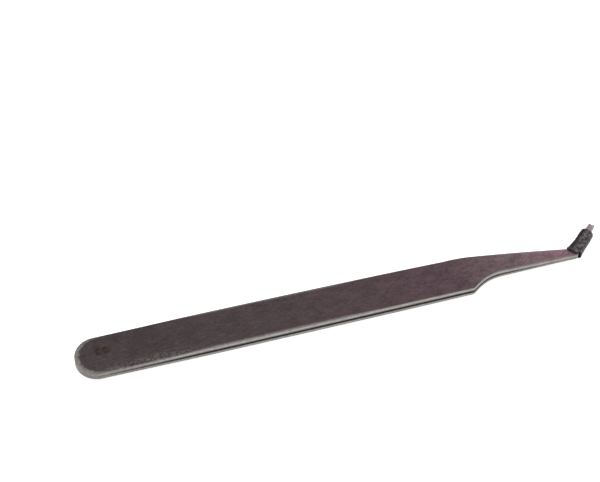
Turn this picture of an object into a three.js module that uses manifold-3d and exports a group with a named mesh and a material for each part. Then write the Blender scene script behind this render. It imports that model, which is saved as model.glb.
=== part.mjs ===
// Bent-nose tweezers with a rubber sleeve over the points.
//
// Two stamped sheet-steel legs lie one on the other and are spot-welded at the round butt end.
// From the weld pad each leg bows outwards into a flat belly, thins towards a narrow neck and
// turns about 45 degrees in its own plane. A short rubber sleeve is pushed over the bent noses
// and holds the two points together. The noses cross slightly, so both points show side by side.
//
// Millimetres. +X runs from the butt to the points, +Y is the side that the nose bends to, and
// +Z points up through both legs, which lie flat. The drawing below has its zero at the butt, on
// the centre line, in the plane where the two legs meet; the last lines move the whole assembly
// so that the origin is under the middle of its bounding box.

import * as THREE from "three";
import { mergeVertices } from "three/addons/utils/BufferGeometryUtils.js";
import Module from "manifold-3d";

// ---- Driving dimensions ----------------------------------------------------------------------

const SHEET = 1.05; // thickness of each leg
const BUTT_LENGTH = 4.92; // length of the round end
const BUTT_HALF_WIDTH = 4.9;

// The long sides: half widths at the two handles of their curve, then the two shoulders.
const REAR_HANDLE_X = 28;
const REAR_HALF_WIDTH = 4.98;
const FRONT_HANDLE_X = 58;
const FRONT_HALF_WIDTH = 4.79;
const NEAR_SHOULDER = { x: 88.4, y: -4.58 }; // the sharp corner where the body ends
const FAR_SHOULDER = { x: 84, y: 4.37 }; // where the rounding of the other corner starts
const FAR_SHOULDER_TOP_X = 87.6;
const FAR_SHOULDER_END_X = 91.2;

// The neck, between the body and the bend.
const HOLLOW = [-2.1, -1.54]; // Y of the two handles of the hollow beside the sharp shoulder
const HOLLOW_X = [91.6, 93.2];
const NECK_LOW_START_X = 97.5; // where the hollow has run into the straight side
const NECK_LOW_Y = -1.62;
const NECK_SLOPE = 0.16; // fall of the +Y side, per millimetre of length
const NECK_BULGE = 0.3; // how far the handle of that side stands out
const BEND_ROUND = 0.6; // length of the rounding on the outer side of the bend

// The nose: it turns about the bend and runs straight to the point.
const BEND = { x: 112.8, y: -0.3 };
const NOSE_ROOT_HALF_WIDTH = 0.95;
const NOSE_POINT_RADIUS = 0.42;
const NECK_CORNER = 0.35; // how far along the nose its inside corner with the neck lies
const UPPER_NOSE = { length: 8.8, angle: THREE.MathUtils.degToRad(46.1) };
const LOWER_NOSE = { length: 9.3, angle: THREE.MathUtils.degToRad(43) };

// Side view of a leg: distance of its inner face from the meeting plane, and its thinning.
const PAD_END_X = 8; // the welded pad is flat up to here
const BELLY_START_X = 30;
const BELLY_END_X = 84;
const BELLY_OFFSET = 0.2;
const NOSE_TOUCH_X = 114; // the inner faces meet again from here on
const THINNING_START_X = 68;
const POINT_X = 121;
const POINT_THICKNESS = 0.6;
const RAMP_STEPS = 8;

// The spot welds.
const WELD_X = { weld_spot_rear: 5.55, weld_spot_front: 7.2 };
const WELD_Y = 0.9;
const WELD_RADIUS = 0.6;
const WELD_HOLE_RADIUS = 0.75;
const WELD_SINK = 0.1; // the nugget ends this far below each outer face
const WELD_SIDES = 20;

// The sleeve, with its stations measured along its own line from the bend.
const SLEEVE_ANGLE = THREE.MathUtils.degToRad(43.6);
const SLEEVE_START = 0.2;
const SLEEVE_LENGTH = 6.5;
const SLEEVE_LIP_LENGTH = 0.7;
const SLEEVE_LIP_RADIUS = 1.82;
const SLEEVE_ROOT_RADIUS = 1.7;
const SLEEVE_END_RADIUS = 1.5;
const SLEEVE_MOUTH_BORE = 1.6;
const SLEEVE_ROOT_BORE = 1.4;
const SLEEVE_END_BORE = 1.22;
const SLEEVE_EDGE_ROUND = 0.4;
const SLEEVE_FLATNESS = 0.83; // height over width of the stretched tube
const SLEEVE_SIDES = 32;
const SLEEVE_ROUND_STEPS = 4;

const REACH = 6; // half height of the cutting extrusions, beyond every leg
const ROUND_STEPS = 28; // segments of each curve of the plan outline

// ---- Finishes --------------------------------------------------------------------------------

const DARK_STEEL = new THREE.MeshStandardMaterial({ color: 0x4c4044, roughness: 0.42, metalness: 0.85 });
const WELD_STEEL = new THREE.MeshStandardMaterial({ color: 0x3a2a26, roughness: 0.7, metalness: 0.5 });
const BLACK_RUBBER = new THREE.MeshStandardMaterial({ color: 0x2b2829, roughness: 0.6, metalness: 0 });

// ---- Solids ----------------------------------------------------------------------------------

const wasm = await Module();
wasm.setup();

/** Turns a closed geometry into a solid that can be cut. */
function toSolid(geometry) {
  const bare = geometry.clone();
  bare.deleteAttribute("normal");
  bare.deleteAttribute("uv");
  const merged = mergeVertices(bare, 1e-4);
  return new wasm.Manifold(
    new wasm.Mesh({
      numProp: 3,
      vertProperties: new Float32Array(merged.attributes.position.array),
      triVerts: new Uint32Array(merged.index.array),
    }),
  );
}

/** Turns a solid back into a geometry. */
function toGeometry(solid) {
  const mesh = solid.getMesh();
  const geometry = new THREE.BufferGeometry();
  geometry.setAttribute("position", new THREE.BufferAttribute(mesh.vertProperties, 3));
  geometry.setIndex(new THREE.BufferAttribute(mesh.triVerts, 1));
  geometry.computeVertexNormals();
  return geometry;
}

/** Height of a smooth ramp that is 0 before start and 1 after end. */
function ramp(x, start, end) {
  return THREE.MathUtils.smoothstep(x, start, end);
}

/** Distance of a leg's inner face from the meeting plane. */
function innerOffset(x) {
  return BELLY_OFFSET * (ramp(x, PAD_END_X, BELLY_START_X) - ramp(x, BELLY_END_X, NOSE_TOUCH_X));
}

/** Thickness of a leg, which thins from the body to the point. */
function legThickness(x) {
  return THREE.MathUtils.lerp(SHEET, POINT_THICKNESS, ramp(x, THINNING_START_X, POINT_X));
}

/** A point given along and across a line that leaves the bend at an angle, in plan. */
function fromBend(angle, along, across) {
  const c = Math.cos(angle);
  const s = Math.sin(angle);
  return { x: BEND.x + along * c - across * s, y: BEND.y + along * s + across * c };
}

/** Draws the -Y side from the butt to the root of the nose: body, hollow, neck and bend. */
function drawNearSide(outline, nose) {
  const cornerX = fromBend(nose.angle, 0, -NOSE_ROOT_HALF_WIDTH).x;
  const noseStart = fromBend(nose.angle, BEND_ROUND, -NOSE_ROOT_HALF_WIDTH);
  const shoulder = [NEAR_SHOULDER.x, NEAR_SHOULDER.y];
  outline.bezierCurveTo(REAR_HANDLE_X, -REAR_HALF_WIDTH, FRONT_HANDLE_X, -FRONT_HALF_WIDTH, ...shoulder);
  outline.bezierCurveTo(HOLLOW_X[0], HOLLOW[0], HOLLOW_X[1], HOLLOW[1], NECK_LOW_START_X, NECK_LOW_Y);
  outline.lineTo(cornerX - BEND_ROUND, NECK_LOW_Y);
  outline.quadraticCurveTo(cornerX, NECK_LOW_Y, noseStart.x, noseStart.y);
}

/** Draws the nose: its outer side, the half circle of the point, and back to its inside corner. */
function drawNose(outline, nose) {
  const pointStart = nose.length - NOSE_POINT_RADIUS;
  const outer = fromBend(nose.angle, pointStart, -NOSE_POINT_RADIUS);
  const centre = fromBend(nose.angle, pointStart, 0);
  const corner = fromBend(nose.angle, NECK_CORNER, NOSE_ROOT_HALF_WIDTH);
  const quarter = Math.PI / 2;
  outline.lineTo(outer.x, outer.y);
  outline.absarc(centre.x, centre.y, NOSE_POINT_RADIUS, nose.angle - quarter, nose.angle + quarter, false);
  outline.lineTo(corner.x, corner.y);
}

/** Draws the +Y side from the inside corner of the nose to the butt: neck, shoulder and body. */
function drawFarSide(outline, nose) {
  const corner = fromBend(nose.angle, NECK_CORNER, NOSE_ROOT_HALF_WIDTH);
  const neckY = (x) => corner.y + NECK_SLOPE * (corner.x - x);
  const neckMiddleX = (corner.x + FAR_SHOULDER_END_X) / 2;
  const neckEndY = neckY(FAR_SHOULDER_END_X);
  const body = [BUTT_LENGTH, BUTT_HALF_WIDTH];
  outline.quadraticCurveTo(neckMiddleX, neckY(neckMiddleX) + NECK_BULGE, FAR_SHOULDER_END_X, neckEndY);
  outline.quadraticCurveTo(FAR_SHOULDER_TOP_X, neckY(FAR_SHOULDER_TOP_X), FAR_SHOULDER.x, FAR_SHOULDER.y);
  outline.bezierCurveTo(FRONT_HANDLE_X, FRONT_HALF_WIDTH, REAR_HANDLE_X, REAR_HALF_WIDTH, ...body);
}

/** Plan outline of a leg, counter-clockwise, closed by the round butt. */
function legOutline(nose) {
  const outline = new THREE.Shape();
  outline.moveTo(BUTT_LENGTH, -BUTT_HALF_WIDTH);
  drawNearSide(outline, nose);
  drawNose(outline, nose);
  drawFarSide(outline, nose);
  outline.absellipse(BUTT_LENGTH, 0, BUTT_LENGTH, BUTT_HALF_WIDTH, Math.PI / 2, 1.5 * Math.PI, false, 0);
  return outline;
}

/** Side profile of a leg in X and Z, bowed away from the meeting plane. side is 1 or -1. */
function legProfile(side) {
  const stations = [];
  const addRange = (from, to, steps) => {
    for (let i = 0; i < steps; i += 1) stations.push(THREE.MathUtils.lerp(from, to, i / steps));
  };
  addRange(-1, PAD_END_X, 1);
  addRange(PAD_END_X, BELLY_START_X, RAMP_STEPS);
  addRange(BELLY_START_X, THINNING_START_X, 1);
  addRange(THINNING_START_X, BELLY_END_X, RAMP_STEPS / 2);
  addRange(BELLY_END_X, NOSE_TOUCH_X, RAMP_STEPS);
  addRange(NOSE_TOUCH_X, POINT_X, RAMP_STEPS / 2);
  stations.push(POINT_X);
  const inner = stations.map((x) => new THREE.Vector2(x, side * innerOffset(x)));
  const outer = stations.map((x) => new THREE.Vector2(x, side * (innerOffset(x) + legThickness(x))));
  return new THREE.Shape([...inner, ...outer.reverse()]);
}

/** A leg: its plan outline cut to its bowed side profile, with holes round the weld nuggets. */
function makeLeg(nose, side) {
  const plan = new THREE.ExtrudeGeometry(legOutline(nose), {
    depth: 2 * REACH,
    bevelEnabled: false,
    curveSegments: ROUND_STEPS,
  });
  plan.translate(0, 0, -REACH);
  const profile = new THREE.ExtrudeGeometry(legProfile(side), { depth: 4 * REACH, bevelEnabled: false });
  profile.rotateX(Math.PI / 2);
  profile.translate(0, 2 * REACH, 0);
  let leg = toSolid(plan).intersect(toSolid(profile));
  for (const x of Object.values(WELD_X)) {
    const hole = new THREE.CylinderGeometry(WELD_HOLE_RADIUS, WELD_HOLE_RADIUS, 2 * REACH, WELD_SIDES);
    hole.rotateX(Math.PI / 2);
    hole.translate(x, WELD_Y, 0);
    leg = leg.subtract(toSolid(hole));
  }
  return toGeometry(leg);
}

/** A weld nugget, which runs through both legs. */
function makeWeld() {
  const height = 2 * (SHEET - WELD_SINK);
  const nugget = new THREE.CylinderGeometry(WELD_RADIUS, WELD_RADIUS, height, WELD_SIDES);
  nugget.rotateX(Math.PI / 2);
  return nugget;
}

/** The sleeve: a tube with a flared lip and a tapering bore, flattened by the two sheets inside it. */
function makeSleeve() {
  const end = SLEEVE_LENGTH;
  const root = [SLEEVE_ROOT_RADIUS, SLEEVE_LIP_LENGTH];
  const section = new THREE.Path();
  section.moveTo(SLEEVE_MOUTH_BORE, 0);
  section.lineTo(SLEEVE_LIP_RADIUS, 0);
  section.quadraticCurveTo(SLEEVE_ROOT_RADIUS, SLEEVE_LIP_LENGTH / 2, ...root);
  section.lineTo(SLEEVE_END_RADIUS, end - SLEEVE_EDGE_ROUND);
  section.quadraticCurveTo(SLEEVE_END_RADIUS, end, SLEEVE_END_BORE, end);
  section.lineTo(SLEEVE_ROOT_BORE, SLEEVE_LIP_LENGTH);
  section.lineTo(SLEEVE_MOUTH_BORE, 0);
  const tube = new THREE.LatheGeometry(section.getPoints(SLEEVE_ROUND_STEPS), SLEEVE_SIDES);
  tube.rotateY(Math.PI / SLEEVE_SIDES); // a side, not an edge, faces down
  tube.scale(1, 1, SLEEVE_FLATNESS);
  return tube;
}

// ---- Assembly --------------------------------------------------------------------------------

/** A named mesh. */
function piece(name, geometry, material) {
  const mesh = new THREE.Mesh(geometry, material);
  mesh.name = name;
  return mesh;
}

const tweezers = new THREE.Group();
tweezers.add(piece("upper_leg", makeLeg(UPPER_NOSE, 1), DARK_STEEL));
tweezers.add(piece("lower_leg", makeLeg(LOWER_NOSE, -1), DARK_STEEL));
for (const [name, x] of Object.entries(WELD_X)) {
  const weld = piece(name, makeWeld(), WELD_STEEL);
  weld.position.set(x, WELD_Y, 0);
  tweezers.add(weld);
}

const sleeve = piece("tip_sleeve", makeSleeve(), BLACK_RUBBER);
const sleeveFoot = fromBend(SLEEVE_ANGLE, SLEEVE_START, 0);
sleeve.position.set(sleeveFoot.x, sleeveFoot.y, 0);
sleeve.rotation.z = SLEEVE_ANGLE - Math.PI / 2;
tweezers.add(sleeve);

// Puts the origin under the middle of the bounding box.
const bounds = new THREE.Box3().setFromObject(tweezers, true);
const centre = bounds.getCenter(new THREE.Vector3());
tweezers.position.set(-centre.x, -centre.y, -bounds.min.z);

const part = new THREE.Group();
part.add(tweezers);

export default part;
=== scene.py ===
"""Bent-nose tweezers with a rubber sleeve over the points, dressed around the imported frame.

Each sub-assembly is a class: the stamped legs, the two weld marks, the sleeve and the studio.
Sizes are millimetres in the drawing's own axes: +X from the round butt to the points, +Y the side
that the nose bends to, +Z up, with zero at the butt, on the centre line, where the legs meet.
"""

import logging
import math
from dataclasses import dataclass, field
from enum import Enum

import bpy
import numpy as np
from mathutils import Matrix, Vector


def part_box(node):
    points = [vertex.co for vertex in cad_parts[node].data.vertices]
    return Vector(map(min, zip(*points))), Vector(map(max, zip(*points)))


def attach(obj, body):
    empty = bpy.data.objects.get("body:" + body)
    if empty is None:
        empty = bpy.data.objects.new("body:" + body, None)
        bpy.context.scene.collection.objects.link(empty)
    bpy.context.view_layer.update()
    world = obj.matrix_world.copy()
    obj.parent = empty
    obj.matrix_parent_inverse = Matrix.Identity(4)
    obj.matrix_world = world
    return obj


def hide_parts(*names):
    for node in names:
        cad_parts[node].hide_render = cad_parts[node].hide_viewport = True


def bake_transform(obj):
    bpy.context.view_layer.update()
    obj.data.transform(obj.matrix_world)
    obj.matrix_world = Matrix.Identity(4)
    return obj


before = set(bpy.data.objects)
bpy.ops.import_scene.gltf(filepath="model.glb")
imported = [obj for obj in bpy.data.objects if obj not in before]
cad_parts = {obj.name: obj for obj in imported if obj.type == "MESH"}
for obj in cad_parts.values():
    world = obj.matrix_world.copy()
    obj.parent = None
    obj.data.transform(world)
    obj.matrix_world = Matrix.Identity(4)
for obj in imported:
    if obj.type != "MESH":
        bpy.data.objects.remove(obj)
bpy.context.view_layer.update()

MM = 0.001

Array = np.ndarray
Face = tuple[int, ...]
Point = tuple[float, float]
Colour = tuple[float, float, float]

log = logging.getLogger("tweezers")


class Side(Enum):
    """Which of the two legs, as the sign of its height."""

    UPPER = 1
    LOWER = -1


# ---- Shader helpers --------------------------------------------------------------------------


def srgb(red: int, green: int, blue: int) -> Colour:
    """Turns display values from 0 to 255 into linear light.

    Args:
        red, green, blue: Display values.

    Returns:
        The same colour as linear values.
    """

    def linear(value: float) -> float:
        """One channel, by the usual straight foot and power curve."""
        share = value / 255
        return share / 12.92 if share <= 0.04045 else ((share + 0.055) / 1.055) ** 2.4

    return linear(red), linear(green), linear(blue)


class Value:
    """A number that a shader node gives, with the arithmetic of a plain number."""

    def __init__(self, shader: "Shader", socket: bpy.types.NodeSocket) -> None:
        """Keeps the node socket and the shader it belongs to."""
        self.shader = shader
        self.socket = socket

    def _math(self, operation: str, *operands: "Value | float") -> "Value":
        """Adds one Math node on the given operands."""
        inputs = dict(enumerate(operands))
        return Value(self.shader, self.shader.node("ShaderNodeMath", {"operation": operation}, inputs))

    def __add__(self, other: "Value | float") -> "Value":
        """Sum."""
        return self._math("ADD", self, other)

    def __radd__(self, other: float) -> "Value":
        """Sum with a number on the left."""
        return self._math("ADD", other, self)

    def __sub__(self, other: "Value | float") -> "Value":
        """Difference."""
        return self._math("SUBTRACT", self, other)

    def __rsub__(self, other: float) -> "Value":
        """Difference from a number on the left."""
        return self._math("SUBTRACT", other, self)

    def __mul__(self, other: "Value | float") -> "Value":
        """Product."""
        return self._math("MULTIPLY", self, other)

    def __rmul__(self, other: float) -> "Value":
        """Product with a number on the left."""
        return self._math("MULTIPLY", other, self)

    def __truediv__(self, other: "Value | float") -> "Value":
        """Quotient."""
        return self._math("DIVIDE", self, other)

    def smallest(self, other: "Value | float") -> "Value":
        """The smaller of two values."""
        return self._math("MINIMUM", self, other)

    def largest(self, other: "Value | float") -> "Value":
        """The larger of two values."""
        return self._math("MAXIMUM", self, other)

    def step(self, low: float, high: float) -> "Value":
        """A smooth step between two places, which falls if low is above high.

        Args:
            low: Where the step is 0.
            high: Where it is 1.

        Returns:
            The step, from 0 to 1.
        """
        ends = (low, high, 0.0, 1.0) if low < high else (high, low, 1.0, 0.0)
        inputs = {"Value": self} | dict(zip(("From Min", "From Max", "To Min", "To Max"), ends))
        settings = {"interpolation_type": "SMOOTHSTEP"}
        return Value(self.shader, self.shader.node("ShaderNodeMapRange", settings, inputs, "Result"))


class Shader:
    """A material whose nodes are added by one method."""

    def __init__(self, name: str) -> None:
        """Starts a material with one Principled shader on its output.

        Args:
            name: The material's name.
        """
        self.material = bpy.data.materials.new(name)
        self.material.use_nodes = True
        self.tree = self.material.node_tree
        self.principled = self.tree.nodes["Principled BSDF"]

    def node(
        self,
        kind: str,
        settings: dict | None = None,
        inputs: dict | None = None,
        output: str | int = 0,
    ) -> bpy.types.NodeSocket:
        """Adds a node.

        Args:
            kind: The node's type.
            settings: Properties to set before its sockets are filled.
            inputs: Values or links, by socket name or number.
            output: The socket to hand back.

        Returns:
            The output socket asked for.
        """
        made = self.tree.nodes.new(kind)
        for key, value in (settings or {}).items():
            setattr(made, key, value)
        for key, value in (inputs or {}).items():
            self.plug(made.inputs[key], value)
        return made.outputs[output]

    def plug(self, socket: bpy.types.NodeSocket, value: object) -> None:
        """Links or sets one input socket.

        Args:
            socket: The input to fill.
            value: A Value or a socket to link, or a plain value to set.
        """
        if isinstance(value, Value):
            value = value.socket
        if isinstance(value, bpy.types.NodeSocket):
            self.tree.links.new(value, socket)
        elif socket.type == "RGBA" and len(value) == 3:
            socket.default_value = (*value, 1.0)
        else:
            socket.default_value = value

    def set(self, **inputs: object) -> None:
        """Fills the Principled shader's inputs, with underscores for the spaces in their names."""
        for key, value in inputs.items():
            self.plug(self.principled.inputs[key.replace("_", " ")], value)

    def attribute(self, name: str) -> bpy.types.NodeSocket:
        """A vector attribute stored on the mesh."""
        return self.node("ShaderNodeAttribute", {"attribute_name": name}, None, "Vector")

    def number(self, name: str) -> Value:
        """A number attribute stored on the mesh."""
        return Value(self, self.node("ShaderNodeAttribute", {"attribute_name": name}, None, "Fac"))

    def stretched(self, vector: bpy.types.NodeSocket, scale: Point | Colour, turn: float = 0.0) -> object:
        """A vector scaled along each axis, after a turn about Z given in degrees."""
        inputs = {"Vector": vector, "Rotation": (0.0, 0.0, math.radians(turn)), "Scale": scale}
        return self.node("ShaderNodeMapping", {"vector_type": "POINT"}, inputs)

    def noise(self, vector: object, scale: float, detail: float, roughness: float) -> Value:
        """Fractal noise from 0 to 1."""
        inputs = {"Vector": vector, "Scale": scale, "Detail": detail, "Roughness": roughness}
        return Value(self, self.node("ShaderNodeTexNoise", {"noise_dimensions": "3D"}, inputs, "Fac"))

    def mix(self, factor: Value | float, low: object, high: object, blend: str = "MIX") -> object:
        """A colour between two colours.

        Args:
            factor: 0 gives the first colour, 1 the second.
            low: The first colour, set or linked.
            high: The second colour, set or linked.
            blend: How the second colour is laid over the first.

        Returns:
            The colour socket.
        """
        settings = {"data_type": "RGBA", "blend_type": blend, "clamp_factor": True}
        made = self.tree.nodes.new("ShaderNodeMix")
        for key, value in settings.items():
            setattr(made, key, value)
        for name, value in (("Factor", factor), ("A", low), ("B", high)):
            kind = "VALUE" if name == "Factor" else "RGBA"
            socket = next(s for s in made.inputs if s.name == name and s.type == kind)
            self.plug(socket, value)
        return next(s for s in made.outputs if s.type == "RGBA")

    def ramp(self, factor: Value, stops: list[tuple[float, Colour]]) -> object:
        """A colour ramp.

        Args:
            factor: The place on the ramp, from 0 to 1.
            stops: Place and colour of each stop, in order.

        Returns:
            The colour socket.
        """
        socket = self.node("ShaderNodeValToRGB", None, {"Fac": factor}, "Color")
        elements = socket.node.color_ramp.elements
        while len(elements) < len(stops):
            elements.new(0.5)
        for element, (place, colour) in zip(elements, stops):
            element.position = place
            element.color = (*colour, 1.0)
        return socket

    def grey(self, tone: Value) -> object:
        """A neutral grey of the given strength."""
        inputs = {0: tone, 1: tone, 2: tone}
        return self.node("ShaderNodeCombineColor", {"mode": "RGB"}, inputs)

    def parts(self, vector: object) -> list[Value]:
        """The three numbers of a vector."""
        split = self.node("ShaderNodeSeparateXYZ", None, {"Vector": vector}).node
        return [Value(self, socket) for socket in split.outputs]

    def bump(self, height: Value, distance: float, strength: float = 1.0) -> object:
        """A bumped normal for a height that runs over distance metres."""
        inputs = {"Height": height, "Distance": distance, "Strength": strength}
        return self.node("ShaderNodeBump", None, inputs)


# ---- Finishes --------------------------------------------------------------------------------


@dataclass(frozen=True)
class PatinatedSteel:
    """Dark rolled spring steel: brown-grey body, pinkish nose, bright sheared and worn edges, painted shade
    along the gap between the legs.
    """

    body: Colour = srgb(55, 46, 46)
    middle: Colour = srgb(68, 55, 57)
    shoulder: Colour = srgb(83, 64, 70)
    neck: Colour = srgb(110, 92, 95)
    nose: Colour = srgb(134, 102, 111)
    blush: Colour = srgb(78, 50, 60)
    bare: Colour = srgb(151, 148, 146)
    grime: Colour = srgb(104, 101, 95)
    # Painted shade: the dark colour laid on each wall along the gap between the legs.
    gap_shade: Colour = srgb(44, 37, 37)
    tip: Colour = srgb(158, 138, 150)
    silver: Colour = srgb(178, 178, 171)
    tarnish: Colour = srgb(74, 67, 70)
    rust: Colour = srgb(44, 22, 10)
    length: float = 120.0
    tint_x: tuple[float, ...] = (14.0, 52.0, 84.0, 99.0, 110.0)
    # Spans along the leg: the first x is where a mask starts, the second where it is full.
    butt_wear: Point = (9.0, 0.5)
    butt_tarnish: Point = (6.0, 1.0)
    butt_grime: Point = (26.0, 6.0)
    streak_fade: Point = (36.0, 12.0)
    held_start: Point = (20.0, 32.0)
    held_end: Point = (70.0, 58.0)
    scuff_start: Point = (3.0, 8.0)
    scuff_end: Point = (32.0, 18.0)
    scuff_side: Point = (-2.2, -4.4)
    neck_wear: Point = (88.0, 98.0)
    # Spans of the painted shade along the gap between the legs.
    gap_shade_start: Point = (2.0, 11.0)
    gap_shade_fade: Point = (88.0, 106.0)
    gap_shade_end: Point = (115.0, 112.0)
    ground_face: Point = (108.0, 114.0)
    ground_point: Point = (116.6, 118.2)
    relief_m: float = 0.00003

    def material(self, name: str) -> bpy.types.Material:
        """Builds the material.

        Args:
            name: The material's name.

        Returns:
            The finished material.
        """
        shader = Shader(name)
        place = shader.attribute("rest_mm")
        along, across, height = shader.parts(place)
        rim = shader.number("rim_mm")
        wall = shader.number("wall")
        up = shader.number("up")

        mottle = shader.noise(shader.stretched(place, (1.1, 1.6, 1.6)), 1.0, 3.0, 0.65)
        grain = shader.noise(shader.stretched(place, (0.18, 9.0, 9.0)), 1.0, 4.0, 0.6)
        speck = shader.noise(place, 2.4, 2.0, 0.5)
        scratch = self.scratches(shader, place)
        face = self.face(shader, place, along, mottle, grain, speck)
        face = shader.mix(scratch * 0.22, face, self.bare)
        from_weld = shader.number("weld_mm")
        stain = (from_weld + (mottle - 0.5) * 1.6 + (speck - 0.5) * 0.8).step(1.25, 0.75)
        face = shader.mix(stain * 0.85, face, self.rust)

        butt = along.step(*self.butt_wear)
        ragged = (mottle - 0.5) * 1.1 + (speck - 0.5) * 0.5
        worn = (rim + ragged * (0.2 + butt * 0.7)).step(0.16, 0.0)
        slim = along.step(*self.neck_wear)
        held = along.step(*self.held_start) * along.step(*self.held_end)
        soft = (rim / (0.3 + butt * 0.95 + slim * 0.25 + held * 0.4) + ragged * 0.8).step(1.0, 0.45)
        rubbed = soft * (0.16 + butt * 0.62 + slim * 0.3 + held * 0.26)
        span = along.step(*self.scuff_start) * along.step(*self.scuff_end)
        near_side = across.step(*self.scuff_side) * span
        scuff = grain.step(0.42, 0.66) * speck.step(0.36, 0.6) * near_side * (1 - wall)

        edge = self.sheared(shader, place, along, mottle, up, wall, height)
        colour = shader.mix(rubbed, face, edge)
        colour = shader.mix(scuff * 0.6, colour, self.bare)
        bright = wall.largest(worn)
        colour = shader.mix(bright, colour, edge)
        point = along.step(*self.ground_point)
        mating = up.step(0.1, 0.0) * along.step(*self.ground_face) * (1 - wall)
        colour = shader.mix(point * (1 - wall) * 0.6, colour, self.tip)
        colour = shader.mix(mating.largest(point * wall * 0.8), colour, self.silver)

        roughness = 0.5 + (mottle - 0.5) * 0.16 + (grain - 0.5) * 0.14 - bright * 0.1
        relief = grain * 0.5 + speck * 0.3 + scratch * -0.5
        shader.set(
            Base_Color=colour,
            Metallic=0.55 + bright * 0.3,
            Roughness=roughness,
            Normal=shader.bump(relief, self.relief_m, 0.6),
        )
        return shader.material

    def face(
        self,
        shader: "Shader",
        place: object,
        along: Value,
        mottle: Value,
        grain: Value,
        speck: Value,
    ) -> object:
        """The patina: a ramp of tints along the leg, clouded, blushed and grained.

        Args:
            shader: The shader to add to.
            place: The point in drawing millimetres.
            along: Its distance from the butt.
            mottle: Blotches of about a millimetre.
            grain: Lengthwise rolling lines.
            speck: Fine specks.

        Returns:
            The colour.
        """
        cloud = shader.noise(shader.stretched(place, (0.3, 0.55, 0.55)), 1.0, 4.0, 0.6)
        blush = shader.noise(shader.stretched(place, (0.45, 0.8, 0.8), 20), 1.0, 3.0, 0.6)
        tints = (self.body, self.middle, self.shoulder, self.neck, self.nose)
        stops = [(x / self.length, tint) for x, tint in zip(self.tint_x, tints)]
        face = shader.ramp(along / self.length, stops)
        face = shader.mix(blush.step(0.45, 0.75) * 0.45, face, self.blush)
        tone = cloud * 1.2 + mottle * 1.2 + grain * 0.25 + speck * 0.85 - 0.75
        return shader.mix(1.0, face, shader.grey(tone), "MULTIPLY")

    def sheared(
        self,
        shader: "Shader",
        place: object,
        along: Value,
        mottle: Value,
        up: Value,
        wall: Value,
        height: Value,
    ) -> object:
        """The sheared wall: bare metal, streaked and grimy, with painted shade along the gap between the
        legs.

        Args:
            shader: The shader to add to.
            place: The point in drawing millimetres.
            along: Its distance from the butt.
            mottle: Blotches of about a millimetre.
            up: 0 at a leg's inner face, 1 at its outer face.
            wall: 1 on the wall.
            height: Height above the plane where the legs meet.

        Returns:
            The colour.
        """
        streak = shader.noise(shader.stretched(place, (1.6, 5.0, 7.0)), 1.0, 3.0, 0.6)
        dirt = (mottle * 0.55 + streak * 0.45).step(0.42, 0.64)
        edge = shader.mix(dirt * 0.5, self.bare, self.grime)
        butt_end = along.step(*self.butt_tarnish) * up.step(0.95, 0.6)
        edge = shader.mix(butt_end * (0.4 + dirt * 0.5), edge, self.tarnish)
        edge = shader.mix(streak.step(0.47, 0.62) * along.step(*self.streak_fade) * 0.5, edge, self.tarnish)
        # The lower leg's wall is mixed a little towards the grime colour, so it is darker than the upper
        # leg's.
        lower = height.step(0.0, -0.1)
        edge = shader.mix(lower * 0.3, edge, self.grime)
        edge = shader.mix(along.step(*self.butt_grime) * (0.2 + mottle * 0.6), edge, self.grime)
        # Painted shade: each wall darkens towards its inner face, along the gap between the legs. It fades
        # in from the butt, is weaker along the neck and is gone at the points.
        depth = up.step(0.6, 0.12) * (1 - lower) + up.step(0.3, 0.04) * lower
        depth = depth * along.step(*self.gap_shade_start) * along.step(*self.gap_shade_end) * wall
        return shader.mix(depth * (0.82 - along.step(*self.gap_shade_fade) * 0.3), edge, self.gap_shade)

    def scratches(self, shader: "Shader", place: object) -> Value:
        """Sparse fine scratches: ridges of long stretched noise at four angles.

        Args:
            shader: The shader to add to.
            place: The point in drawing millimetres.

        Returns:
            1 on a scratch, 0 off it.
        """
        total: Value | float = 0.0
        for turn, across in ((4, 9.0), (-9, 11.0), (33, 14.0), (-57, 15.0)):
            lines = shader.noise(shader.stretched(place, (0.1, across, across), turn), 1.0, 1.0, 0.4)
            patch = shader.noise(shader.stretched(place, (0.3, 0.5, 0.5), turn), 1.0, 1.0, 0.5)
            total = lines.step(0.68, 0.76) * patch.step(0.5, 0.65) + total
        return total.smallest(1.0)


@dataclass(frozen=True)
class BurntWeld:
    """A spot weld: burnt brown with a little rust and a lighter dished middle."""

    burnt: Colour = srgb(30, 14, 8)
    rust: Colour = srgb(62, 33, 18)
    middle: Colour = srgb(76, 54, 46)
    relief_m: float = 0.00004

    def material(self, name: str) -> bpy.types.Material:
        """Builds the material.

        Args:
            name: The material's name.

        Returns:
            The finished material.
        """
        shader = Shader(name)
        place = shader.attribute("rest_mm")
        patch = shader.noise(place, 1.3, 3.0, 0.6)
        fine = shader.noise(place, 9.0, 3.0, 0.6)
        rim = shader.number("rim_mm")
        colour = shader.mix(patch.step(0.4, 0.62), self.burnt, self.rust)
        colour = shader.mix(rim.step(0.25, 0.6) * fine.step(0.25, 0.65) * 0.4, colour, self.middle)
        shader.set(
            Base_Color=colour,
            Metallic=0.35,
            Roughness=0.62 + (fine - 0.5) * 0.3,
            Normal=shader.bump(fine + patch, self.relief_m, 0.7),
        )
        return shader.material


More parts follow.
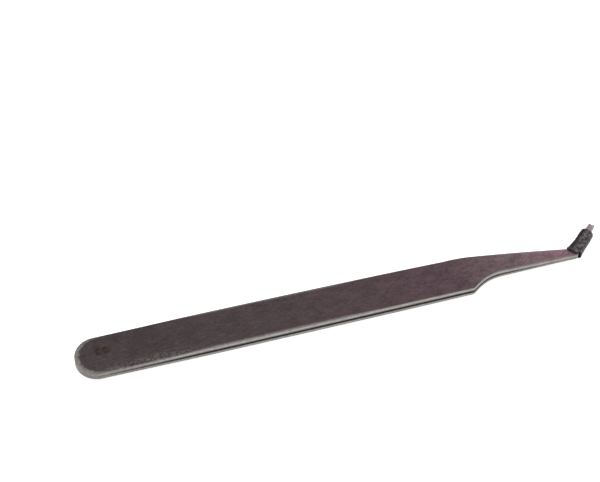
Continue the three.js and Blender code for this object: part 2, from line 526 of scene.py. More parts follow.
@dataclass(frozen=True)
class SleeveRubber:
    """Black rubber tube, dull: painted light turns its upper outer side warm brown while its inner side
    stays black, painted shade blackens the rim of the mouth, and grey dust smudges lie on the lit side.
    """

    black: Colour = srgb(28, 19, 28)
    lit_rubber: Colour = srgb(54, 44, 41)
    dust: Colour = srgb(110, 109, 116)
    mouth_shade_edge: Point = (0.4, 0.15)
    band_start: Point = (0.35, 0.55)
    band_end: Point = (1.3, 0.8)
    relief_m: float = 0.00006

    def material(self, name: str) -> bpy.types.Material:
        """Builds the material.

        Args:
            name: The material's name.

        Returns:
            The finished material.
        """
        shader = Shader(name)
        place = shader.attribute("rest_mm")
        cloud = shader.noise(place, 0.9, 4.0, 0.6)
        mottle = shader.noise(place, 1.5, 4.0, 0.7)
        fine = shader.noise(place, 11.0, 3.0, 0.6)
        outer = shader.number("lit_side")
        from_mouth = shader.number("from_mouth")
        # Painted shade: the rubber is blackened just behind the edge of the mouth.
        lip = from_mouth.step(*self.mouth_shade_edge)
        band = from_mouth.step(*self.band_start) * from_mouth.step(*self.band_end)
        # Painted light and shade: the lit side is mixed towards warm brown, and the other side is left
        # black.
        lit_side_mask = (outer + (cloud - 0.5) * 0.6).step(0.42, 0.7)
        colour = shader.mix(lit_side_mask, self.black, self.lit_rubber)
        patch = (mottle + (fine - 0.5) * 0.25).step(0.42, 0.6)
        # Dust smudges, laid only on the lit side: partly dust, partly painted light.
        dust_and_sheen = patch * (outer + (cloud - 0.5) * 0.4).step(0.5, 0.85)
        colour = shader.mix(dust_and_sheen * 0.8, colour, self.dust)
        colour = shader.mix(band * fine.step(0.3, 0.6) * 0.3, colour, self.dust)
        # Painted shade at the mouth's edge.
        colour = shader.mix(lip * 0.85, colour, self.black)
        shader.set(
            Base_Color=colour,
            Roughness=0.7 + (mottle - 0.5) * 0.3,
            Specular_IOR_Level=0.22,
            Normal=shader.bump(fine * 0.5 + mottle, self.relief_m, 0.7),
        )
        return shader.material


@dataclass(frozen=True)
class PaleFloor:
    """A matt, nearly white table."""

    tone: float = 0.86
    glow: float = 0.7

    def material(self, name: str) -> bpy.types.Material:
        """Builds the material.

        Args:
            name: The material's name.

        Returns:
            The finished material.
        """
        shader = Shader(name)
        grey = (self.tone, self.tone, self.tone)
        shader.set(Base_Color=grey, Roughness=0.9, Specular_IOR_Level=0.1)
        shader.set(Emission_Color=(1.0, 1.0, 1.0), Emission_Strength=self.glow)
        return shader.material


# ---- Curves and meshes -----------------------------------------------------------------------


def bezier(handles: list[Point], steps: int = 80) -> Array:
    """Samples a Bezier curve: the handles weighted by the Bernstein polynomials.

    Args:
        handles: End points and handles, in order.
        steps: How many points to give.

    Returns:
        An array of steps rows and 2 columns.
    """
    t = np.linspace(0, 1, steps)[:, None]
    n = len(handles) - 1
    terms = [
        math.comb(n, k) * t**k * (1 - t) ** (n - k) * np.array(handle)
        for k, handle in enumerate(handles)
    ]
    return np.sum(terms, axis=0)


def smooth_step(x: Array | float, start: float, end: float) -> Array:
    """The cubic 3t^2 - 2t^3, where t runs from 0 at start to 1 at end."""
    t = np.clip((np.asarray(x, float) - start) / (end - start), 0, 1)
    return t * t * (3 - 2 * t)


def grid_faces(rows: int, columns: int) -> Array:
    """Quads between neighbouring rows of a grid whose columns close into a ring.

    Args:
        rows: Number of rings.
        columns: Points in each ring.

    Returns:
        An array of 4 vertex numbers a row.
    """
    ring = np.arange(columns)
    ahead = np.roll(ring, -1)
    start = (np.arange(rows - 1) * columns)[:, None]
    quads = np.stack([start + ring, start + ahead, start + columns + ahead, start + columns + ring], axis=-1)
    return quads.reshape(-1, 4)


def weld_points(points: Array, faces: Array, grid: float = 1e-4) -> tuple[Array, list[Face], Array]:
    """Joins points that share a place and drops the faces that collapse.

    Args:
        points: Points in millimetres.
        faces: Quads on those points.
        grid: Places closer than this are the same.

    Returns:
        The kept points, the faces as tuples without repeats, and the kept points' old numbers.
    """
    keys = np.round(points / grid).astype(np.int64)
    _, first, inverse = np.unique(keys, axis=0, return_index=True, return_inverse=True)
    joined = inverse.reshape(-1)[faces]
    same = joined == np.roll(joined, -1, axis=1)
    quads = [tuple(face) for face in joined[~same.any(axis=1)].tolist()]
    once = same.sum(axis=1) == 1
    kept = joined[once][~same[once]].reshape(-1, 3)
    return points[first], quads + [tuple(face) for face in kept.tolist()], first


@dataclass
class Sheet:
    """Points, faces and stored values of one piece, in drawing millimetres."""

    points: Array
    faces: Array
    values: dict[str, Array] = field(default_factory=dict)

    def build(self, name: str, origin: Vector, material: bpy.types.Material) -> bpy.types.Object:
        """Makes the Blender object, with its place in its mesh.

        Args:
            name: The object's name.
            origin: Where the drawing's zero lies in the frame, in metres.
            material: The finish.

        Returns:
            The object, linked to the scene.
        """
        points, faces, first = weld_points(self.points, self.faces)
        mesh = bpy.data.meshes.new(name)
        placed = points * MM + np.array(origin)
        mesh.from_pydata(placed.tolist(), [], faces)
        mesh.validate(clean_customdata=False)
        self.face_outwards(mesh)
        self.store(mesh, "rest_mm", points, "FLOAT_VECTOR", "vector")
        for key, value in self.values.items():
            self.store(mesh, key, value[first], "FLOAT", "value")
        mesh.shade_smooth()
        mesh.materials.append(material)
        made = bpy.data.objects.new(name, mesh)
        bpy.context.scene.collection.objects.link(made)
        log.info("%s: %d points, %d faces", name, len(points), len(faces))
        return made

    @staticmethod
    def store(mesh: bpy.types.Mesh, name: str, values: Array, kind: str, key: str) -> None:
        """Keeps one value for each point as a mesh attribute."""
        attribute = mesh.attributes.new(name, kind, "POINT")
        attribute.data.foreach_set(key, np.asarray(values, np.float32).ravel())

    @staticmethod
    def face_outwards(mesh: bpy.types.Mesh) -> None:
        """Turns the faces round if the closed mesh's signed volume is negative.

        Args:
            mesh: The closed mesh.
        """
        mesh.calc_loop_triangles()
        count = len(mesh.loop_triangles)
        corners = np.zeros(count * 3, np.int64)
        mesh.loop_triangles.foreach_get("vertices", corners)
        places = np.zeros(len(mesh.vertices) * 3)
        mesh.vertices.foreach_get("co", places)
        a, b, c = places.reshape(-1, 3)[corners.reshape(-1, 3)].transpose(1, 0, 2)
        if np.einsum("ij,ij->", a, np.cross(b, c)) < 0:
            mesh.flip_normals()


# ---- Legs ------------------------------------------------------------------------------------


@dataclass
class LegPlan:
    """Plan outline of a leg: the same for both, but for the length and the angle of the nose."""

    nose_length: float
    nose_angle: float
    butt_length: float = 4.92
    butt_half: float = 4.9
    rear_handle: Point = (28.0, 4.98)
    front_handle: Point = (58.0, 4.79)
    near_shoulder: Point = (88.4, -4.58)
    far_shoulder: Point = (84.0, 4.37)
    far_shoulder_top_x: float = 87.6
    far_shoulder_end_x: float = 91.2
    hollow_handles: tuple[Point, Point] = ((91.6, -2.1), (93.2, -1.54))
    neck_low_start: Point = (97.5, -1.62)
    neck_slope: float = 0.16
    neck_bulge: float = 0.3
    bend_round: float = 0.6
    bend: Point = (112.8, -0.3)
    nose_root_half: float = 0.95
    nose_point_radius: float = 0.42
    neck_corner: float = 0.35
    corner_softness: float = 0.35

    def from_bend(self, along: Array | float, across: Array | float) -> tuple:
        """A point given along and across the nose."""
        c, s = math.cos(self.nose_angle), math.sin(self.nose_angle)
        return self.bend[0] + along * c - across * s, self.bend[1] + along * s + across * c

    def far_rail(self) -> Array:
        """The +Y side from the butt to the point: arc, long curve, round shoulder, neck, nose, arc.

        Returns:
            Points in plan, in order.
        """
        corner = self.from_bend(self.neck_corner, self.nose_root_half)

        def neck(x: float, rise: float = 0.0) -> Point:
            """A point on the neck's straight slope, or a little above it."""
            return x, corner[1] + self.neck_slope * (corner[0] - x) + rise

        neck_end = neck(self.far_shoulder_end_x)
        middle = neck((corner[0] + self.far_shoulder_end_x) / 2, self.neck_bulge)
        body = [(self.butt_length, self.butt_half), self.rear_handle, self.front_handle]
        point_start = self.nose_length - self.nose_point_radius
        return np.vstack(
            [
                self.butt_arc(1),
                bezier([*body, self.far_shoulder]),
                bezier([self.far_shoulder, neck(self.far_shoulder_top_x), neck_end]),
                bezier([neck_end, middle, corner]),
                bezier([corner, self.from_bend(point_start, self.nose_point_radius)]),
                self.point_arc(1),
            ]
        )

    def near_rail(self) -> Array:
        """The -Y side: arc, long curve to the sharp shoulder, hollow, neck, bend, nose, arc.

        Returns:
            Points in plan, in order.
        """
        body = [(x, -y) for x, y in (self.rear_handle, self.front_handle)]
        corner = (self.from_bend(0, -self.nose_root_half)[0], self.neck_low_start[1])
        corner_start = (corner[0] - self.bend_round, corner[1])
        corner_end = self.from_bend(self.bend_round, -self.nose_root_half)
        point_start = self.nose_length - self.nose_point_radius
        return np.vstack(
            [
                self.butt_arc(-1),
                bezier([(self.butt_length, -self.butt_half), *body, self.near_shoulder]),
                bezier([self.near_shoulder, *self.hollow_handles, self.neck_low_start]),
                bezier([self.neck_low_start, corner_start]),
                bezier([corner_start, corner, corner_end]),
                bezier([corner_end, self.from_bend(point_start, -self.nose_point_radius)]),
                self.point_arc(-1),
            ]
        )

    def butt_arc(self, side: int) -> Array:
        """A quarter ellipse from the end of the butt to one side.

        Args:
            side: 1 for +Y, -1 for -Y.

        Returns:
            Points in plan, in order.
        """
        turn = np.linspace(0, math.pi / 2, 60)
        x = self.butt_length * (1 - np.cos(turn))
        return np.stack([x, side * self.butt_half * np.sin(turn)], axis=1)

    def point_arc(self, side: int) -> Array:
        """A quarter circle from one side of the nose to its very point.

        Args:
            side: 1 for +Y, -1 for -Y.

        Returns:
            Points in plan, in order.
        """
        turn = np.linspace(math.pi / 2, 0, 30)
        radius = self.nose_point_radius
        along = self.nose_length - radius + radius * np.cos(turn)
        return np.stack(self.from_bend(along, side * radius * np.sin(turn)), axis=1)


@dataclass
class Rail:
    """One long side of a leg, evenly sampled, with its corners softened."""

    raw: Array
    softness: float
    spacing: float = 0.04
    sharp_end: float = 1.0
    soft_from: float = 3.0
    bend_x: float = 112.6

    def __post_init__(self) -> None:
        """Resamples the side by length and rounds its corners with a short sliding average."""
        steps = np.linalg.norm(np.diff(self.raw, axis=0), axis=1)
        kept = np.concatenate([[True], steps > 1e-6])
        raw = self.raw[kept]
        length = np.concatenate([[0], np.cumsum(np.linalg.norm(np.diff(raw, axis=0), axis=1))])
        count = int(length[-1] / self.spacing)
        even = np.linspace(0, length[-1], count)
        points = np.stack([np.interp(even, length, raw[:, k]) for k in (0, 1)], axis=1)
        half = int(self.softness / self.spacing)
        window = np.hanning(2 * half + 1)[:, None]
        window /= window.sum()
        padded = np.pad(points, ((half, half), (0, 0)), mode="edge")
        soft = np.stack([np.convolve(padded[:, k], window[:, 0], "valid") for k in (0, 1)], axis=1)
        inland = np.minimum(even, length[-1] - even)
        share = smooth_step(inland, self.sharp_end, self.soft_from)[:, None]
        self.points = points * (1 - share) + soft * share
        self.length = even

    def at(self, place: Array) -> Array:
        """Points at the given lengths along the side."""
        return np.stack([np.interp(place, self.length, self.points[:, k]) for k in (0, 1)], axis=1)

    def outward(self, place: Array, side: int) -> Array:
        """Unit normals pointing away from the leg: the difference of two points close by, turned.

        Args:
            place: Lengths along the side.
            side: 1 for +Y, -1 for -Y.

        Returns:
            One normal for each place.
        """
        reach = 2 * self.spacing
        run = self.at(np.minimum(place + reach, self.length[-1])) - self.at(np.maximum(place - reach, 0))
        run /= np.linalg.norm(run, axis=1)[:, None]
        return side * np.stack([-run[:, 1], run[:, 0]], axis=1)

    def length_at_x(self, x: Array) -> Array:
        """Lengths at which the side, which runs steadily along X up to the bend, passes each x."""
        ahead = self.points[:, 0] < self.bend_x
        return np.interp(x, self.points[ahead, 0], self.length[ahead])


@dataclass
class Leg:
    """A stamped leg: a bowed plate with rounded edges, ground down at the nose."""

    name: str
    side: Side
    plan: LegPlan
    finish: bpy.types.Material
    sheet: float = 1.05
    pad_end_x: float = 8.0
    belly_x: Point = (30.0, 84.0)
    belly_offset: float = 0.2
    touch_x: float = 114.0
    grind_x: Point = (68.0, 121.0)
    point_thickness: float = 0.6
    outer_inset: float = 0.3
    outer_round: float = 0.22
    inner_round: float = 0.1
    inner_steps: int = 4
    wall_steps: int = 4
    outer_steps: int = 9
    soft_width: float = 1.6
    least_round: float = 0.2
    wall_fade: Point = (0.2, 0.95)
    ring_runs: tuple[tuple[float, int], ...] = ((9.0, 28), (82.0, 74), (98.0, 60), (112.0, 24))
    butt_rings: int = 44
    bend_rings: int = 20
    bend_reach: float = 1.0
    nose_rings: int = 32
    point_rings: int = 12
    face_columns: int = 56
    inner_columns: int = 24
    dent_depth: float = 0.13
    dent_radii: Point = (0.5, 0.95)
    dent_lip: float = 0.03
    dent_lip_radius: float = 1.0
    dent_lip_width: float = 0.12
    dents: list[Point] = field(default_factory=list)

    def inner_offset(self, x: Array) -> Array:
        """Gap between the inner face and the meeting plane: up a smooth ramp, level, and down."""
        up = smooth_step(x, self.pad_end_x, self.belly_x[0])
        return self.belly_offset * (up - smooth_step(x, self.belly_x[1], self.touch_x))

    def thickness(self, x: Array) -> Array:
        """Sheet thickness, which a smooth ramp takes down to the ground point."""
        return self.sheet + (self.point_thickness - self.sheet) * smooth_step(x, *self.grind_x)

    def stations(self, rails: tuple[Rail, Rail]) -> list[Array]:
        """Pairs places on both sides: by share of length on the arcs and the bend, by x between.

        Args:
            rails: The far and the near side.

        Returns:
            For each side, the lengths along it at which the rings of the mesh stand.
        """
        radius = self.plan.butt_length
        ends = [end for end, _ in self.ring_runs]
        runs = zip([radius, *ends], self.ring_runs)
        body = np.concatenate([np.linspace(start, end, count)[1:] for start, (end, count) in runs])
        arc = np.linspace(0, 1, self.butt_rings)
        places = []
        for rail in rails:
            end = rail.length[-1]
            point = end - math.pi / 2 * self.plan.nose_point_radius
            butt = math.pi / 2 * radius
            straight = rail.length_at_x(body)
            bend_end = point - (self.plan.nose_length - self.plan.nose_point_radius - self.bend_reach)
            places.append(
                np.concatenate(
                    [
                        arc * butt,
                        straight,
                        np.linspace(straight[-1], bend_end, self.bend_rings)[1:],
                        np.linspace(bend_end, point, self.nose_rings)[1:],
                        np.linspace(point, end, self.point_rings)[1:],
                    ]
                )
            )
        return places

    def edge_profile(self) -> tuple[Array, Array]:
        """Inset from the side and height above the inner face, from the inner to the outer face.

        Returns:
            Insets in millimetres and heights as shares: a quarter circle, a wall, a quarter circle.
        """
        turn_in = np.linspace(0, math.pi / 2, self.inner_steps)
        turn_out = np.linspace(0, math.pi / 2, self.outer_steps)
        inner, outer = self.inner_round, self.outer_round
        over = self.outer_inset * (1 - np.cos(turn_out))
        inset = np.concatenate([inner * (1 - np.sin(turn_in)), np.zeros(self.wall_steps - 2), over])
        height = np.concatenate(
            [
                inner * (1 - np.cos(turn_in)),
                np.linspace(inner, self.sheet - outer, self.wall_steps)[1:-1],
                self.sheet - outer + outer * np.sin(turn_out),
            ]
        )
        return inset, height / self.sheet

    def surface(self) -> Sheet:
        """Carries the section ring along the leg.

        Each ring runs up the near edge, across the outer face, down the far edge and back across
        the inner face. Edges step inwards along the plan's own normals, and faces run straight
        between them. Heights follow the bow and the ground nose by each point's own x.

        Returns:
            The points, faces and stored values of the leg.
        """
        rails = (
            Rail(self.plan.far_rail(), self.plan.corner_softness),
            Rail(self.plan.near_rail(), self.plan.corner_softness),
        )
        far_at, near_at = self.stations(rails)
        far, near = rails[0].at(far_at), rails[1].at(near_at)
        far_out, near_out = rails[0].outward(far_at, 1), rails[1].outward(near_at, -1)
        inset, share = self.edge_profile()

        half_width = np.linalg.norm(far - near, axis=1)[:, None, None] / 2
        share_in = np.clip(half_width / self.soft_width, self.least_round, 1.0) * inset[:, None]
        near_edge = near[:, None] - near_out[:, None] * share_in
        far_edge = (far[:, None] - far_out[:, None] * share_in)[:, ::-1]
        across = np.linspace(0, 1, self.face_columns + 2)[1:-1, None]
        back = np.linspace(0, 1, self.inner_columns + 2)[1:-1, None]
        outer = near_edge[:, -1:] * (1 - across) + far_edge[:, :1] * across
        inner = far_edge[:, -1:] * (1 - back) + near_edge[:, :1] * back
        plan = np.concatenate([near_edge, outer, far_edge, inner], axis=1)
        heights = np.concatenate([share, np.ones(len(across)), share[::-1], np.zeros(len(back))])

        rows, columns = plan.shape[:2]
        flat = plan.reshape(-1, 2)
        height = np.tile(heights, rows)
        z = self.inner_offset(flat[:, 0]) + height * self.thickness(flat[:, 0])
        z = z - self.dent(flat) * smooth_step(height, 0.8, 1.0)
        points = np.column_stack([flat, self.side.value * z])
        edge = self.wallness(inset)
        wall = np.concatenate([edge, np.zeros(len(across)), edge[::-1], np.zeros(len(back))])
        from_welds = [np.hypot(flat[:, 0] - x, flat[:, 1] - y) for x, y in self.dents]
        values = {
            "wall": np.tile(wall, rows),
            "up": height,
            "weld_mm": np.min(from_welds, axis=0),
            "rim_mm": self.rim_distance(flat, rails),
        }
        return Sheet(points, grid_faces(rows, columns), values)

    def wallness(self, inset: Array) -> Array:
        """1 on the sheared wall, fading to 0 as the rounding turns into a face."""
        start, end = self.wall_fade
        return 1 - smooth_step(inset, start * self.outer_inset, end * self.outer_inset)

    def rim_distance(self, flat: Array, rails: tuple[Rail, Rail]) -> Array:
        """Distance in plan from each point to the nearest of the outline's samples.

        Args:
            flat: Points in plan.
            rails: The far and the near side.

        Returns:
            One distance for each point, in millimetres.
        """
        thinning, blocks = 8, 24
        outline = np.vstack([rail.points[::thinning] for rail in rails])
        nearest = [
            np.linalg.norm(block[:, None] - outline[None], axis=2).min(axis=1)
            for block in np.array_split(flat, blocks)
        ]
        return np.concatenate(nearest)

    def dent(self, flat: Array) -> Array:
        """Depth of the electrode dents: a flat-bottomed dish with a low raised lip round it.

        Args:
            flat: Points in plan.

        Returns:
            One depth for each point, below 0 on a lip.
        """
        depth = np.zeros(len(flat))
        for x, y in self.dents:
            r = np.hypot(flat[:, 0] - x, flat[:, 1] - y)
            depth = np.maximum(depth, self.dent_depth * (1 - smooth_step(r, *self.dent_radii)))
            depth -= self.dent_lip * np.exp(-(((r - self.dent_lip_radius) / self.dent_lip_width) ** 2))
        return depth

    def build(self, origin: Vector) -> bpy.types.Object:
        """Makes the leg, named after the imported part it replaces, and hides that part.

        Args:
            origin: Where the drawing's zero lies in the frame, in metres.

        Returns:
            The object.
        """
        made = self.surface().build(self.name + "_sheet", origin, self.finish)
        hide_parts(self.name)
        return made


# ---- Weld marks ------------------------------------------------------------------------------


@dataclass
class WeldMark:
    """A spot-weld nugget that shows as a burnt, dished disc in the dent of each leg."""

    name: str
    centre: Point
    finish: bpy.types.Material
    phase: float
    radius: float = 0.78
    rim: float = 0.12
    top: float = 0.98
    dish: float = 0.05
    swell: Point = (0.05, 0.03)
    turns: int = 48

    def surface(self) -> Sheet:
        """Turns the section about the weld's axis: dished top, rounded rim, wall, and the same below.

        The radius swells a little with the angle, as a melted blob does.

        Returns:
            The points, faces and stored values of the nugget.
        """
        share = np.linspace(0, 1, 12)
        turn = np.linspace(0, math.pi / 2, 6)[1:]
        flat_radius = self.radius - self.rim
        reach = np.concatenate([share * flat_radius, flat_radius + self.rim * np.sin(turn)])
        dip = self.dish * (1 - share**2)
        height = np.concatenate([self.top - dip, self.top - self.rim * (1 - np.cos(turn))])
        reach = np.concatenate([reach, reach[::-1]])
        height = np.concatenate([height, -height[::-1]])
        angle = np.linspace(0, 2 * math.pi, self.turns + 1)[:-1]
        broad = self.swell[0] * np.sin(2 * angle + self.phase)
        fine = self.swell[1] * np.sin(5 * angle - self.phase)
        radius = reach[:, None] * (1 + broad + fine)[None]
        points = np.stack(
            [
                self.centre[0] + radius * np.cos(angle),
                self.centre[1] + radius * np.sin(angle),
                np.broadcast_to(height[:, None], radius.shape),
            ],
            axis=-1,
        ).reshape(-1, 3)
        from_rim = np.repeat(np.clip(self.radius - reach, 0, None), len(angle))
        return Sheet(points, grid_faces(len(reach), len(angle)), {"rim_mm": from_rim})

    def build(self, origin: Vector) -> bpy.types.Object:
        """Makes the nugget, named after the imported part it replaces, and hides that part.

        Args:
            origin: Where the drawing's zero lies in the frame, in metres.

        Returns:
            The object.
        """
        made = self.surface().build(self.name + "_mark", origin, self.finish)
        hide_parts(self.name)
        return made


# ---- Sleeve ----------------------------------------------------------------------------------


@dataclass
class Sleeve:
    """A short rubber tube stretched over both noses, its mouth dragged back over the bend."""

    plan: LegPlan
    finish: bpy.types.Material
    mouth_side: float = 0.2
    mouth_top: float = -0.6
    mouth_turn: float = math.radians(9)
    mouth_back: Point = (0.25, 0.8)
    end: float = 6.7
    root_half: Point = (1.72, 1.42)
    end_half: Point = (1.5, 1.42)
    mouth_height: float = 1.12
    rise_length: float = 2.0
    squareness: float = 2.2
    droop: float = 0.3
    droop_angle: float = math.radians(-42)
    flare: float = 0.4
    flare_angle: float = math.radians(160)
    lip_length: float = 0.45
    lip_spread: float = 0.5
    waist: float = 0.14
    waist_s: float = 3.4
    waist_length: float = 1.8
    waist_spread: float = 0.7
    creases: tuple[tuple[float, float, float], ...] = ((0.035, 0.75, 0.16), (0.02, 1.5, 0.14))
    wall: float = 0.3
    end_bore: Point = (0.95, 0.75)
    bore_margin: float = 0.4
    mouth_round: float = 0.1
    end_round: float = 0.5
    turns: int = 72

    def mouth(self, angle: Array) -> Array:
        """Place of the mouth along the nose: level at the sides and below, drawn back on top."""
        back = smooth_step(np.sin(angle - self.mouth_turn), *self.mouth_back)
        return self.mouth_side + (self.mouth_top - self.mouth_side) * back

    def oval(self, angle: Array, wide: Array | float, high: Array | float) -> Array:
        """Radius of a superellipse, |cos/wide|^p + |sin/high|^p to the power -1/p.

        Args:
            angle: Angle about the nose.
            wide: Half width.
            high: Half height.

        Returns:
            The radius at each angle.
        """
        power = self.squareness
        inside = np.abs(np.cos(angle) / wide) ** power + np.abs(np.sin(angle) / high) ** power
        return inside ** (-1 / power)

    def bump(self, angle: Array, centre: float, width: float) -> Array:
        """A bell of height 1 about an angle."""
        away = np.angle(np.exp(1j * (angle - centre)))
        return np.exp(-((away / width) ** 2))

    def outer(self, s: Array, angle: Array) -> Array:
        """Outer radius: an oval that tapers, flattened on top of the mouth, with a drooping lip.

        Args:
            s: Distance along the nose from the bend.
            angle: 0 on the bend's outer side, growing upwards.

        Returns:
            The radius at each place.
        """
        share = np.clip(s / self.end, 0, 1)
        wide = self.root_half[0] + (self.end_half[0] - self.root_half[0]) * share
        rise = smooth_step(s, self.mouth_top, self.mouth_top + self.rise_length)
        top = self.mouth_height + (self.root_half[1] - self.mouth_height) * rise
        high = np.where(np.sin(angle) > 0, top, self.root_half[1])
        near_mouth = np.exp(-np.clip(s - self.mouth(angle), 0, None) / self.lip_length)
        lip = self.droop * self.bump(angle, self.droop_angle, self.lip_spread)
        lip = lip + self.flare * self.bump(angle, self.flare_angle, self.lip_spread)
        waves = 0.02 * np.sin(1.9 * s + 2 * angle) + 0.012 * np.sin(4.3 * s - angle + 1.0)
        crease = sum(
            depth * np.exp(-(((s - place) / width) ** 2)) for depth, place, width in self.creases
        )
        side = self.waist * self.bump(angle, math.pi, self.waist_spread)
        waist = side * np.exp(-(((s - self.waist_s) / self.waist_length) ** 2))
        return self.oval(angle, wide, high) + lip * near_mouth + waves - crease - waist

    def bore(self, s: Array, angle: Array) -> Array:
        """Inner radius: a wall's thickness inside at the mouth, drawn in about the points.

        Args:
            s: Distance along the nose from the bend.
            angle: Angle about the nose.

        Returns:
            The radius at each place.
        """
        share = smooth_step(s, self.mouth_side + self.bore_margin, self.end - self.bore_margin)
        narrow = self.oval(angle, *self.end_bore)
        return (self.outer(s, angle) - self.wall) * (1 - share) + narrow * share

    def surface(self) -> Sheet:
        """Turns a closed section about the nose: mouth lip, outer wall, round shoulder, bore.

        Returns:
            The points, faces and stored values of the sleeve.
        """
        half_turn = np.linspace(-math.pi / 2, math.pi / 2, 9)
        quarter = np.linspace(0, math.pi / 2, 10)[1:]
        lip_in = self.mouth_round * (1 - np.cos(half_turn))
        lip_q = 0.5 + 0.5 * np.sin(half_turn)
        straight = np.linspace(0, 1, 50)[1:]
        round_in = self.end_round * (1 - np.sin(quarter))
        round_q = 0.3 + 0.7 * np.cos(quarter)
        back = np.linspace(1, 0, 32)[1:-1]
        nip_in = np.array([[0.0], [0.03], [0.1]])
        nip_q = [0.15, 0.04, 0.0]

        angle = np.linspace(0, 2 * math.pi, self.turns + 1)[None, :-1]
        mouth = self.mouth(angle)
        wall_end = self.end - self.end_round
        lip_s = mouth + lip_in[:, None]
        wall_s = lip_s[-1] + (wall_end - lip_s[-1]) * straight[:, None]
        end_s = np.broadcast_to(self.end - round_in[:, None], (len(quarter), self.turns))
        nip_s = np.broadcast_to(self.end - nip_in, (len(nip_in), self.turns))
        back_s = lip_s[0] + (nip_s[-1] - lip_s[0]) * back[:, None]
        s = np.vstack([lip_s, wall_s, end_s, nip_s, back_s])
        q = np.concatenate([lip_q, np.ones(len(straight)), round_q, nip_q, np.zeros(len(back))])

        inner = self.bore(s, angle)
        radius = inner + q[:, None] * (self.outer(s, angle) - inner)
        x, y = self.plan.from_bend(s, -radius * np.cos(angle))
        points = np.stack([x, y, radius * np.sin(angle)], axis=-1)
        ring = grid_faces(len(s) + 1, self.turns) % s.size
        # Painted light: 1 towards the sleeve's upper outer side, where the light falls, and 0 towards its
        # lower inner side.
        lit_side = np.broadcast_to(0.5 + 0.5 * np.cos(angle - 0.5), s.shape)
        values = {"lit_side": lit_side.ravel(), "from_mouth": (s - mouth).ravel()}
        return Sheet(points.reshape(-1, 3), ring, values)

    def build(self, origin: Vector) -> bpy.types.Object:
        """Makes the sleeve, named after the imported part it replaces, and hides that part.

        Args:
            origin: Where the drawing's zero lies in the frame, in metres.

        Returns:
            The object.
        """
        made = self.surface().build("tip_sleeve_rubber", origin, self.finish)
        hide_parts("tip_sleeve")
        return made


# ---- The whole tool --------------------------------------------------------------------------


@dataclass
class Tweezers:
    """Both legs, their welds and the sleeve, each on the body that carries it."""

    upper_nose: Point = (8.8, math.radians(46.1))
    lower_nose: Point = (9.3, math.radians(43.0))
    sleeve_angle: float = math.radians(43.6)
    welds: dict[str, Point] = field(
        default_factory=lambda: {"weld_spot_rear": (5.55, 0.9), "weld_spot_front": (7.2, 0.9)}
    )
    weld_phase: float = 1.7
    flex_start_x: float = 10.0
    flex_end_x: float = 60.0

    def origin(self) -> Vector:
        """The drawing's zero in the frame: butt end, centre line and meeting plane of the legs.

        Returns:
            The place, in metres.
        """
        leg_low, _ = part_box("lower_leg")
        upper_low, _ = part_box("upper_leg")
        near_side = LegPlan(*self.lower_nose).near_rail()[:, 1].min()
        return Vector((leg_low[0], leg_low[1] - near_side * MM, upper_low[2]))

    def build(self) -> None:
        """Makes every piece, in order, and puts it on its body."""
        origin = self.origin()
        steel = PatinatedSteel().material("patinated_steel")
        burnt = BurntWeld().material("burnt_weld")
        rubber = SleeveRubber().material("sleeve_rubber")
        spots = list(self.welds.values())

        lower_leg = Leg("lower_leg", Side.LOWER, LegPlan(*self.lower_nose), steel, dents=spots)
        lower = lower_leg.build(origin)
        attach(lower, "lower_leg")
        upper_leg = Leg("upper_leg", Side.UPPER, LegPlan(*self.upper_nose), steel, dents=spots)
        upper = upper_leg.build(origin)
        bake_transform(upper)

        for number, (name, centre) in enumerate(self.welds.items()):
            mark = WeldMark(name, centre, burnt, number * self.weld_phase).build(origin)
            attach(mark, "lower_leg")

        sleeve = Sleeve(LegPlan(self.lower_nose[0], self.sleeve_angle), rubber).build(origin)
        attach(sleeve, "tip_sleeve")


# ---- Studio ----------------------------------------------------------------------------------


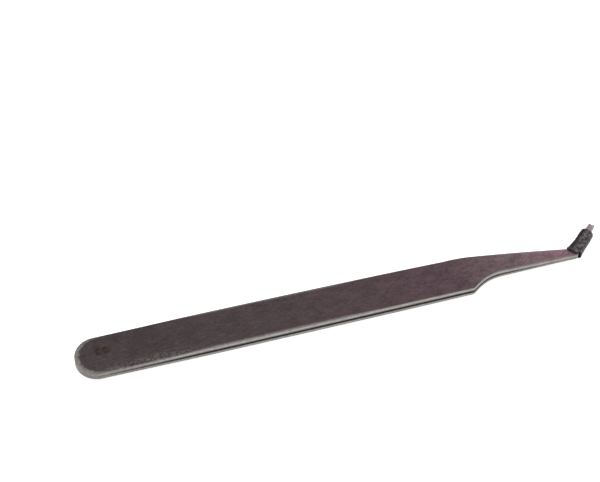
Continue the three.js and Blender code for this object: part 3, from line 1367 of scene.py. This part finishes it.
@dataclass
class Studio:
    """A plain pale floor, soft light and the camera."""

    origin: Vector
    azimuth: float = math.radians(-15.52)
    elevation: float = math.radians(52.0)
    distance: float = 0.6
    look_at: tuple[float, float, float] = (55.75, 20.506, -1.85)
    lens_mm: float = 161.64
    sensor_mm: float = 36.0
    floor_half: float = 3.0
    floor_depth: float = 0.01

    def build(self) -> None:
        """Makes the floor, the lights and the camera."""
        self.floor()
        self.world()
        self.lights()
        self.camera()

    def floor(self) -> None:
        """A wide plate whose top is the plane that the sleeve's lip rests on."""
        corner = np.array([-self.floor_half, self.floor_half])
        x, y, z = np.meshgrid(corner, corner, [-self.floor_depth, 0.0], indexing="ij")
        points = np.stack([x, y, z], axis=-1).reshape(-1, 3)
        faces = [(0, 1, 3, 2), (4, 6, 7, 5), (0, 4, 5, 1), (2, 3, 7, 6), (0, 2, 6, 4), (1, 5, 7, 3)]
        mesh = bpy.data.meshes.new("floor")
        mesh.from_pydata(points.tolist(), [], faces)
        mesh.materials.append(PaleFloor().material("pale_floor"))
        made = bpy.data.objects.new("floor", mesh)
        bpy.context.scene.collection.objects.link(made)

    def world(self) -> None:
        """An even, nearly white surround."""
        world = bpy.data.worlds.new("surround")
        world.use_nodes = True
        background = world.node_tree.nodes["Background"]
        background.inputs["Color"].default_value = (1.0, 1.0, 1.0, 1.0)
        background.inputs["Strength"].default_value = 0.6
        bpy.context.scene.world = world

    def lights(self) -> None:
        """A large soft box overhead, behind and to the left, and a weaker one in front."""
        self.soft_box("key", Vector((-0.35, 0.25, 0.9)), 0.9, 5.5)
        self.soft_box("fill", Vector((0.5, -0.7, 0.6)), 0.8, 2.0)

    def soft_box(self, name: str, place: Vector, size: float, power: float) -> None:
        """A square area light that faces the object.

        Args:
            name: The light's name.
            place: Where it hangs, in metres.
            size: Its side.
            power: Its strength in watts.
        """
        lamp = bpy.data.lights.new(name, "AREA")
        lamp.size = size
        lamp.energy = power
        made = bpy.data.objects.new(name, lamp)
        made.location = place
        made.rotation_euler = (-place).to_track_quat("-Z", "Y").to_euler()
        bpy.context.scene.collection.objects.link(made)

    def camera(self) -> None:
        """A long lens that looks down at the table from the front left."""
        c, s = math.cos(self.elevation), math.sin(self.elevation)
        back = Vector((math.sin(self.azimuth) * c, -math.cos(self.azimuth) * c, s))
        right = Vector((math.cos(self.azimuth), math.sin(self.azimuth), 0.0))
        up = back.cross(right)
        target = self.origin + Vector(self.look_at) * MM
        lens = bpy.data.cameras.new("camera")
        lens.sensor_width = self.sensor_mm
        lens.lens = self.lens_mm
        lens.clip_start = 0.01
        lens.clip_end = 20.0
        made = bpy.data.objects.new("camera", lens)
        turn = Matrix((right, up, back)).transposed().to_4x4()
        made.matrix_world = Matrix.Translation(target + back * self.distance) @ turn
        bpy.context.scene.collection.objects.link(made)
        bpy.context.scene.camera = made


def main() -> None:
    """Builds the tool and its studio."""
    logging.basicConfig(level=logging.INFO, format="%(name)s: %(message)s")
    bpy.context.scene.view_settings.view_transform = "Standard"
    tweezers = Tweezers()
    tweezers.build()
    Studio(tweezers.origin()).build()


if __name__ == "__main__":
    main()
